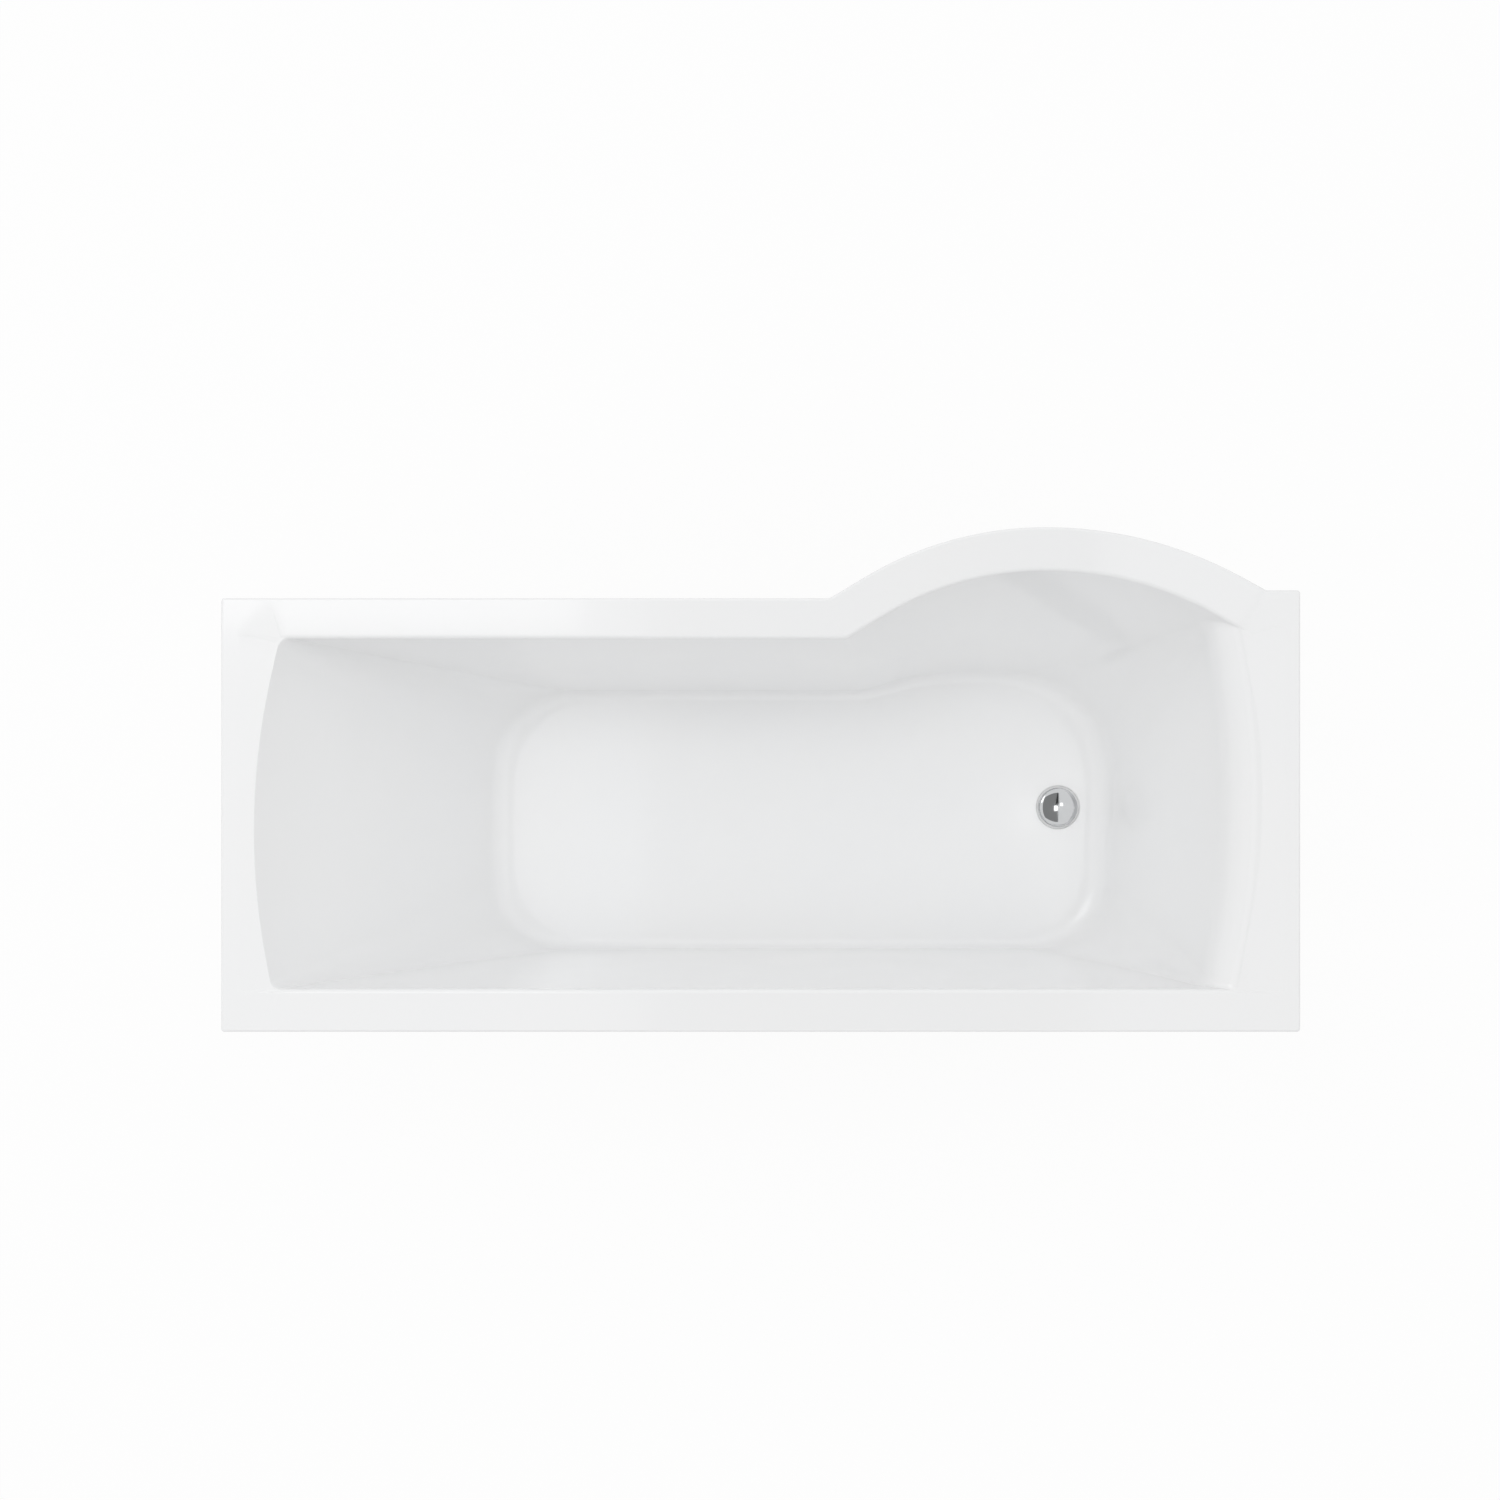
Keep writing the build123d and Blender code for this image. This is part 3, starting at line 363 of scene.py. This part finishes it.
def well_ring(depth):
    """Plan of the well at this depth, in the order that the rim's outline has."""
    share = depth / WELL_DEPTH
    front = FRONT_Y + FRONT_RIM + wall_inset(depth, FRONT_WALL)
    wall = WALL_Y - WALL_RIM - wall_inset(depth, BACK_WALL)
    head = HALF - HEAD_DECK - wall_inset(depth, HEAD_WALL)
    waste = -HALF + WASTE_DECK + wall_inset(depth, WASTE_WALL)
    crown = Vector((CROWN.x + CROWN_SHIFT * share, CROWN.y + BOW_RIM + wall_inset(depth, BOW_WALL)))
    reach = mix(WELL_BOW_REACH, share)
    bow_radius, angle = bow_shape(front - crown.y, reach, WELL_BOW_FULLNESS)
    bow_end, kink = half_bow(crown, bow_radius, angle, front, 1)
    end_radius = mix(END_RADIUS, share)
    head_centre = Vector((head - end_radius, MIDDLE_Y + HEAD_ARC_OFFSET))
    waste_centre = Vector((waste + end_radius, MIDDLE_Y - WASTE_ARC_OFFSET))
    waste_bow = crown + Vector((0, WELL_BOW_RADIUS))

    def end_fillet(centre, side, y, radius):
        """Fillet between an end arc and the straight wall at y."""
        inward = radius if y < 0 else -radius
        reach = sqrt((end_radius - radius) ** 2 - (y + inward - centre.y) ** 2)
        middle = Vector((centre.x + side * reach, y + inward))
        on_end = centre + (middle - centre).normalized() * end_radius
        return middle, on_end, Vector((middle.x, y))

    front_corner = end_fillet(head_centre, 1, front, mix(HEAD_FRONT_CORNER, share))
    back_corner = end_fillet(head_centre, 1, wall, mix(HEAD_WALL_CORNER, share))
    waste_corner = end_fillet(waste_centre, -1, wall, mix(WASTE_WALL_CORNER, share))
    radius = mix(BOW_CORNER, share)
    middle = lower_crossing(waste_bow, WELL_BOW_RADIUS - radius, waste_centre, end_radius - radius)
    on_bow = waste_bow + (middle - waste_bow).normalized() * WELL_BOW_RADIUS
    on_end = waste_centre + (middle - waste_centre).normalized() * end_radius
    bend = round_corner(front_corner[2], kink, bow_end, mix(BOW_KINK, share))
    return (
        arc(*front_corner, 18) + line(front_corner[2], bend[1], 48) + arc(*bend, 12)
        + line(bend[2], bow_end, 8)
        + arc(crown + Vector((0, bow_radius)), bow_end, crown, 28)
        + arc(waste_bow, crown, on_bow, 30)
        + arc(middle, on_bow, on_end, 18)
        + arc(waste_centre, on_end, waste_corner[1], 40)
        + arc(waste_corner[0], waste_corner[1], waste_corner[2], 16)
        + line(waste_corner[2], back_corner[2], 80)
        + arc(back_corner[0], back_corner[2], back_corner[1], 16)
        + arc(head_centre, back_corner[1], front_corner[1], 40)
    )


def deck_drop(point):
    """How far the sloping end decks lie below the rim at a point."""
    from_end = HALF - abs(point.x)
    front = FRONT_Y + FRONT_RIM if point.x > 0 else BLOCK_Y + BLOCK_RIM
    inside = min(point.y - front, WALL_Y - WALL_RIM - point.y)
    drop = max(from_end - DECK_START, 0.0) * DECK_SLOPE
    return drop * smooth(0.0, 0.005, inside) * (1 - smooth(0.075, 0.115, from_end))


def floor_height(x):
    return RIM_TOP - WELL_DEPTH + FLOOR_FALL * (x - FOOT_LOW_X) / (FOOT_HIGH_X - FOOT_LOW_X)


def lay(bm, points, height):
    """Add a loop of vertices, with the height of each from a function of its place."""
    return [bm.verts.new((p.x, p.y, height(p))) for p in points]


def join(bm, upper, lower):
    """Faces between two loops of equal length."""
    for i in range(len(upper)):
        j = (i + 1) % len(upper)
        bm.faces.new((upper[i], lower[i], lower[j], upper[j]))


def inside_loop(point, loop):
    crossed = False
    for a, b in zip(loop, loop[1:] + loop[:1]):
        if (a.y > point.y) != (b.y > point.y):
            if point.x < (b.x - a.x) * (point.y - a.y) / (b.y - a.y) + a.x:
                crossed = not crossed
    return crossed


def fill_between(bm, outer, inner, height, creases=()):
    """Triangles between an outer and an inner loop of vertices, through the crease lines."""
    flat = [v.co.xy for v in outer + inner]
    spans = []
    for start, count in ((0, len(outer)), (len(outer), len(inner))):
        spans += [(start + i, start + (i + 1) % count) for i in range(count)]
    for crease in creases:
        first = len(flat)
        flat += crease
        spans += [(first + i, first + i + 1) for i in range(len(crease) - 1)]
    points, _, triangles, origins, _, _ = delaunay_2d_cdt(flat, spans, [], 0, 1e-6)
    held = outer + inner
    verts = []
    for point, origin in zip(points, origins):
        known = [i for i in origin if i < len(held)]
        verts.append(held[known[0]] if known else bm.verts.new((point.x, point.y, height(point))))
    outer_loop, inner_loop = [v.co.xy for v in outer], [v.co.xy for v in inner]
    for triangle in triangles:
        middle = sum((points[i] for i in triangle), Vector((0, 0))) / 3
        if inside_loop(middle, outer_loop) and not inside_loop(middle, inner_loop):
            bm.faces.new([verts[i] for i in triangle])


shell = bmesh.new()
turn_down = [90 * i / 7 for i in range(8)]
lip_loops = []
for angle in turn_down:
    inset = LIP_ROUND * (1 - sin(radians(angle)))
    drop = LIP_ROUND * (1 - cos(radians(angle)))
    lip_loops.append(lay(shell, rim_outline(inset), lambda p: RIM_TOP - drop))
for drop in (0.012, 0.024, LIP - 0.0015, LIP):
    lip_loops.append(lay(shell, rim_outline(0.0), lambda p: RIM_TOP - drop))
for upper, lower in zip(lip_loops, lip_loops[1:]):
    join(shell, upper, lower)

BLEND_START = 0.24  # the plans of the well crowd together from here to the floor

depths = [SIDE_ROLL * (1 - cos(radians(90 * i / 12))) for i in range(13)]
depths += [mix((SIDE_ROLL, WASTE_ROLL), i / 14) for i in range(1, 15)]
depths += [mix((WASTE_ROLL, BLEND_START), i / 18) for i in range(1, 19)]
depths += [mix((BLEND_START, WELL_DEPTH), sin(radians(90 * i / 40))) for i in range(1, 41)]
well_loops = []
for depth in depths:
    tip = FLOOR_FALL * depth / WELL_DEPTH / (FOOT_HIGH_X - FOOT_LOW_X)

    def height(p):
        tipped = RIM_TOP - depth + tip * (p.x - FOOT_LOW_X)
        return min(tipped, RIM_TOP - deck_drop(p))

    well_loops.append(lay(shell, well_ring(depth), height))
for upper, lower in zip(well_loops, well_loops[1:]):
    join(shell, upper, lower)

creases = []
for side, front, deck in ((1, FRONT_Y + FRONT_RIM, HEAD_DECK), (-1, BLOCK_Y + BLOCK_RIM, WASTE_DECK)):
    start, stop = side * (HALF - DECK_START), side * (HALF - deck + 0.001)
    back = WALL_Y - WALL_RIM
    for shift in (-0.0015, 0.0, 0.0015):
        x = start + side * shift
        creases.append([Vector((x, front - 0.01 + (back - front + 0.02) * i / 60)) for i in range(61)])
    for y in (front, front + 0.0025, front + 0.005, back - 0.005, back - 0.0025, back):
        creases.append([Vector((start + (stop - start) * i / 8, y)) for i in range(9)])
fill_between(shell, lip_loops[0], well_loops[0], lambda p: RIM_TOP - deck_drop(p), creases)

SEAT = floor_height(WASTE.x) - 0.0025
# Edge of the recess for the waste: radius, and drop below the floor
recess = [(0.0402, 0.0), (0.0392, 0.00025), (0.0385, 0.0009), (0.0381, 0.0018)]


def circle(radius, count=72):
    return [WASTE + Vector((cos(a), sin(a))) * radius for a in (2 * pi * i / count for i in range(count))]


recess_loops = [lay(shell, circle(r), lambda p: floor_height(p.x) - drop) for r, drop in recess]
recess_loops.append(lay(shell, circle(0.0376), lambda p: SEAT + 0.0002))
recess_loops += [lay(shell, circle(r), lambda p: SEAT) for r in (0.037, 0.0275)]
recess_loops.append(lay(shell, circle(0.0262), lambda p: SEAT - 0.0006))
for upper, lower in zip(recess_loops, recess_loops[1:]):
    join(shell, upper, lower)
fill_between(shell, well_loops[-1], recess_loops[0], lambda p: floor_height(p.x))


def finish_mesh(bm, name, sharp=None):
    """Turn a bmesh into a smooth-shaded object; edges past the sharp angle stay crisp."""
    bmesh.ops.recalc_face_normals(bm, faces=bm.faces)
    mesh = bpy.data.meshes.new(name)
    bm.to_mesh(mesh)
    bm.free()
    mesh.shade_smooth()
    if sharp:
        mesh.set_sharp_from_angle(angle=radians(sharp))
    return add_object(name, mesh)


bath = finish_mesh(shell, "bath")
up = sum(1 for face in bath.data.polygons if face.normal.z > 0.9)
down = sum(1 for face in bath.data.polygons if face.normal.z < -0.9)
if down > up:
    bath.data.flip_normals()
sheet = bath.modifiers.new("sheet", "SOLIDIFY")
sheet.thickness = SHEET
sheet.offset = -1.0
bpy.context.view_layer.update()
baked = bpy.data.meshes.new_from_object(bath.evaluated_get(bpy.context.evaluated_depsgraph_get()))
bath.modifiers.clear()
bath.data = baked
bath.data.set_sharp_from_angle(angle=radians(50))
weighted = bath.modifiers.new("weighted", "WEIGHTED_NORMAL")
weighted.keep_sharp = True

ACRYLIC_WHITE = (0.940, 0.945, 0.95, 1)

acrylic, shader = new_material("white_acrylic")
place = shader.node("TexCoord", output=3)
broad = shader.node("TexNoise", {}, {"Vector": place, "Scale": 5.0, "Detail": 2.0})
fine = shader.node("TexNoise", {}, {"Vector": place, "Scale": 90.0, "Detail": 3.0})
polish = broad.clamped(0.3, 0.7, 0.10, 0.15) + fine * 0.02
tint = broad.clamped(0.35, 0.65).blend(ACRYLIC_WHITE, (0.945, 0.948, 0.95, 1))
draw_marks = bumped(shader, broad + fine * 0.03, 0.25, 0.0015)
principled(
    shader, Base_Color=tint, Roughness=polish, Normal=draw_marks, IOR=1.49,
    Coat_Weight=0.15, Coat_Roughness=0.04,
)
bath.data.materials.clear()
bath.data.materials.append(acrylic)
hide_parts("bath_shell")
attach(bath, "bath")

# The glass-fibre backing: chopped strands and resin sprayed on the underside of the acrylic and
# rolled down by hand, translucent and rough, with strands lying every way.


def dress(names, material):
    """Give CAD nodes one material."""
    for name in names:
        slots = nodes[name].data.materials
        slots.clear()
        slots.append(material)


def strands(shader, place, turn, scale):
    """Fine streaks in one direction."""
    laid = shader.node("Mapping", {}, {"Vector": place, "Rotation": turn, "Scale": (6.0, 90.0, 90.0)})
    return shader.node("TexNoise", {}, {"Vector": laid, "Scale": scale, "Detail": 2.0})


glass_fibre, shader = new_material("glass_fibre")
place = shader.node("TexCoord", output=3)
mat = strands(shader, place, (0.0, 0.1, 0.3), 3.0)
for turn in ((0.0, 0.8, 1.0), (0.1, 1.5, 0.5), (0.3, 2.3, 2.0), (1.1, 0.4, 2.7), (0.6, 2.8, 1.5)):
    mat = mat.maths("MAXIMUM", mat, strands(shader, place, turn, 3.0))
resin = shader.node("TexNoise", {}, {"Vector": place, "Scale": 14.0, "Detail": 4.0})
lit = mat.clamped(0.60, 0.74)
wet = resin.clamped(0.35, 0.65)
colour = lit.blend(wet.blend((0.60, 0.60, 0.50, 1), (0.70, 0.70, 0.62, 1)), (0.80, 0.80, 0.74, 1))
relief = bumped(shader, mat + resin * 0.8, 0.9, 0.0016)
principled(shader, Base_Color=colour, Roughness=lit * 0.2 + 0.42, Normal=relief, IOR=1.55)
dress(["glass_fibre_backing"], glass_fibre)

# The baseboard: raw chipboard bedded into the wet glass fibre, so that the cradle has wood to
# screw to. Its chips show on its faces.
chipboard, shader = new_material("chipboard")
place = shader.node("TexCoord", output=3)
chips = shader.node("TexVoronoi", {"feature": "F1"}, {"Vector": place, "Scale": 210.0}, 1)
level = shader.node("SeparateColor", {}, {"Color": chips})
grain = shader.node("TexNoise", {}, {"Vector": place, "Scale": 700.0, "Detail": 3.0})
tone = level.clamped(0.0, 1.0) * 0.7 + grain * 0.3
colour = tone.clamped(0.1, 0.9).blend((0.36, 0.25, 0.14, 1), (0.66, 0.52, 0.33, 1))
relief = bumped(shader, tone, 0.5, 0.0004)
principled(shader, Base_Color=colour, Roughness=0.75 + grain * 0.15, Normal=relief)
dress(["baseboard"], chipboard)

# The rim battens: sawn softwood glued up under the rim, one length to each side and a curved one
# in the bow, which the cradle and the brackets screw into.


def sawn_timber(name, along):
    """Softwood with its grain along one axis."""
    made, shader = new_material(name)
    place = shader.node("TexCoord", output=3)
    stretch = (3.0, 46.0, 46.0) if along == "x" else (46.0, 3.0, 46.0)
    laid = shader.node("Mapping", {}, {"Vector": place, "Scale": stretch})
    grain = shader.node("TexNoise", {}, {"Vector": laid, "Scale": 5.0, "Detail": 5.0, "Distortion": 0.6})
    saw = shader.node("TexNoise", {}, {"Vector": laid, "Scale": 32.0, "Detail": 2.0})
    colour = grain.clamped(0.32, 0.68).blend((0.50, 0.33, 0.17, 1), (0.72, 0.55, 0.35, 1))
    relief = bumped(shader, grain * 0.5 + saw * 0.5, 0.6, 0.0005)
    principled(shader, Base_Color=colour, Roughness=0.65 + saw * 0.2, Normal=relief)
    return made


dress(["wall_rim_batten", "front_rim_batten", "bow_rim_batten"], sawn_timber("batten_along", "x"))
dress(["head_rim_batten", "waste_rim_batten"], sawn_timber("batten_across", "y"))

# The cradle: cross bars, posts and wall brackets folded from galvanised steel strip. The zinc has
# frozen in dull spangles, a centimetre or so across.
galvanised, shader = new_material("galvanised_steel")
place = shader.node("TexCoord", output=3)
spangles = shader.node("TexVoronoi", {"feature": "F1"}, {"Vector": place, "Scale": 130.0}, 1)
level = shader.node("SeparateColor", {}, {"Color": spangles})
bloom = shader.node("TexNoise", {}, {"Vector": place, "Scale": 30.0, "Detail": 4.0})
colour = (level * 0.6 + bloom * 0.4).blend((0.50, 0.52, 0.54, 1), (0.68, 0.70, 0.71, 1))
relief = bumped(shader, level + bloom * 0.5, 0.15, 0.0003)
principled(
    shader, Base_Color=colour, Metallic=0.85, Roughness=level * 0.16 + bloom * 0.1 + 0.30,
    Normal=relief,
)
cradle = ["head_wall_bracket", "waste_wall_bracket"]
for bar in ("head", "middle", "waste"):
    cradle += [f"{bar}_cross_bar", f"{bar}_front_post", f"{bar}_wall_post"]
dress(cradle, galvanised)

# The levelling feet: a rod of M10 thread, zinc plated, that stands in the socket of a ribbed
# black plastic pad, with a lock nut above and one below the bar.
THREAD_PITCH = 0.0015

zinc, shader = new_material("zinc_rod")
place = shader.node("TexCoord", output=3)
plate = shader.node("TexNoise", {}, {"Vector": place, "Scale": 160.0, "Detail": 3.0})
colour = plate.blend((0.58, 0.58, 0.55, 1), (0.72, 0.71, 0.66, 1))
axis = shader.node("SeparateXYZ", {}, {0: place}, 2)
thread = shader.maths("PINGPONG", axis * (1.0 / THREAD_PITCH), 0.5)
relief = bumped(shader, thread * 2.0, 1.0, 0.0009)
# Painted shade: the grooves of the thread, which are only a bump, are darkened in the colour.
shade = thread.clamped(0.0, 0.25, 0.45, 1.0)
colour = shade.blend((0.16, 0.16, 0.15, 1), colour)
principled(shader, Base_Color=colour, Metallic=0.95, Roughness=plate * 0.15 + 0.24, Normal=relief)
pad_plastic, shader = new_material("black_plastic")
place = shader.node("TexCoord", output=3)
spark = shader.node("TexNoise", {}, {"Vector": place, "Scale": 900.0, "Detail": 2.0})
cloud = shader.node("TexNoise", {}, {"Vector": place, "Scale": 40.0, "Detail": 2.0})
colour = cloud.blend((0.022, 0.022, 0.024, 1), (0.040, 0.040, 0.042, 1))
relief = bumped(shader, spark, 0.3, 0.0002)
principled(shader, Base_Color=colour, Roughness=cloud * 0.1 + 0.42, Normal=relief)
for bar in ("head", "middle", "waste"):
    for side in ("front", "wall"):
        dress([f"{bar}_{side}_foot_rod"], zinc)
        dress([f"{bar}_{side}_foot_pad"], pad_plastic)

# The screws and nuts: pressed steel with a bright, slightly yellow zinc plate. They hold the
# cradle to the board and battens, the brackets to the wall batten, and the rods to the bars.


def clouded(name, scale, dark, light, rough, rougher, metallic, detail=3.0):
    """Material whose colour and roughness vary with one fine noise."""
    made, shader = new_material(name)
    place = shader.node("TexCoord", output=3)
    cloud = shader.node("TexNoise", {}, {"Vector": place, "Scale": scale, "Detail": detail})
    colour = cloud.blend(dark, light)
    principled(shader, Base_Color=colour, Metallic=metallic, Roughness=cloud * rougher + rough)
    return made


screw_zinc = clouded("screw", 240.0, (0.62, 0.58, 0.44, 1), (0.70, 0.68, 0.60, 1), 0.22, 0.2, 0.95)
dress(["bar_screws", "post_screws", "bracket_screws", "upper_lock_nuts", "lower_lock_nuts"], screw_zinc)

# The plug cap: a brass pressing, domed and turned over at its edge, polished and chromed. It is
# pressed down to shut the waste and pressed again to spring up.


def turned(name, profile, count=160):
    """Body of revolution on the waste's axis, from (radius, height) pairs, inside to outside."""
    bm = bmesh.new()
    loops = []
    for radius, height in profile:
        if radius < 1e-6:
            loops.append([bm.verts.new((WASTE.x, WASTE.y, height))])
        else:
            loops.append(lay(bm, circle(radius, count), lambda p: height))
    for upper, lower in zip(loops, loops[1:]):
        if len(upper) == 1:
            for i in range(count):
                bm.faces.new((upper[0], lower[i], lower[(i + 1) % count]))
        else:
            join(bm, upper, lower)
    return finish_mesh(bm, name, 40)


PLUG_FOOT = 0.16377824  # underside of the cap when the waste is shut
PLUG_RADIUS, PLUG_EDGE, PLUG_DOME = 0.0336, 0.002, 0.003
PLUG_EDGE_RADIUS, PLUG_CHAMFER = 0.0007, 0.0006
HUB_RADIUS, HUB_DEPTH, HUB_CORNER, HUB_BORE = 0.007, 0.005, 0.0002, 0.003

profile = []
top_radius = PLUG_RADIUS - PLUG_EDGE_RADIUS
for i in range(33):
    r = top_radius * i / 32
    fall = (r / PLUG_RADIUS) ** 2 * 0.35 + (r / PLUG_RADIUS) ** 6 * 0.65
    profile.append((r, PLUG_FOOT + PLUG_EDGE + PLUG_DOME * (1 - fall)))
shoulder = profile[-1][1]
for i in range(1, 9):
    angle = radians(80 * i / 8)
    drop = PLUG_EDGE_RADIUS * (1 - cos(angle))
    profile.append((top_radius + PLUG_EDGE_RADIUS * sin(angle), shoulder - drop))
profile += [
    (PLUG_RADIUS, PLUG_FOOT + PLUG_CHAMFER), (PLUG_RADIUS - PLUG_CHAMFER, PLUG_FOOT),
    (HUB_RADIUS + HUB_CORNER, PLUG_FOOT), (HUB_RADIUS, PLUG_FOOT - HUB_CORNER),
    (HUB_RADIUS, PLUG_FOOT - HUB_DEPTH), (HUB_BORE, PLUG_FOOT - HUB_DEPTH),
]
plug_cap = turned("plug_cap", profile)

chrome = clouded("chrome", 60.0, (0.56, 0.57, 0.58, 1), (0.60, 0.61, 0.62, 1), 0.035, 0.03, 1.0)
plug_cap.data.materials.append(chrome)
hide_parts("waste_plug_cap")
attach(plug_cap, "plug")

# The waste body and its fittings: a chromed casting with a flange in the recess of the floor, a
# brass back nut and catch, rubber seals, a steel spindle and its spring.
brass = clouded("brass", 120.0, (0.66, 0.49, 0.22, 1), (0.74, 0.58, 0.30, 1), 0.22, 0.2, 1.0)
steel = clouded(
    "spring_steel", 200.0, (0.54, 0.54, 0.54, 1), (0.64, 0.64, 0.64, 1), 0.2, 0.15, 1.0, detail=2.0
)
rubber = clouded(
    "black_rubber", 150.0, (0.018, 0.018, 0.018, 1), (0.035, 0.034, 0.033, 1), 0.55, 0.2, 0.0
)
dress(["waste_body"], chrome)
dress(["waste_back_nut", "waste_catch"], brass)
dress(["waste_spindle", "waste_spring"], steel)
dress(["waste_flange_seal", "waste_washer", "waste_plug_seal"], rubber)
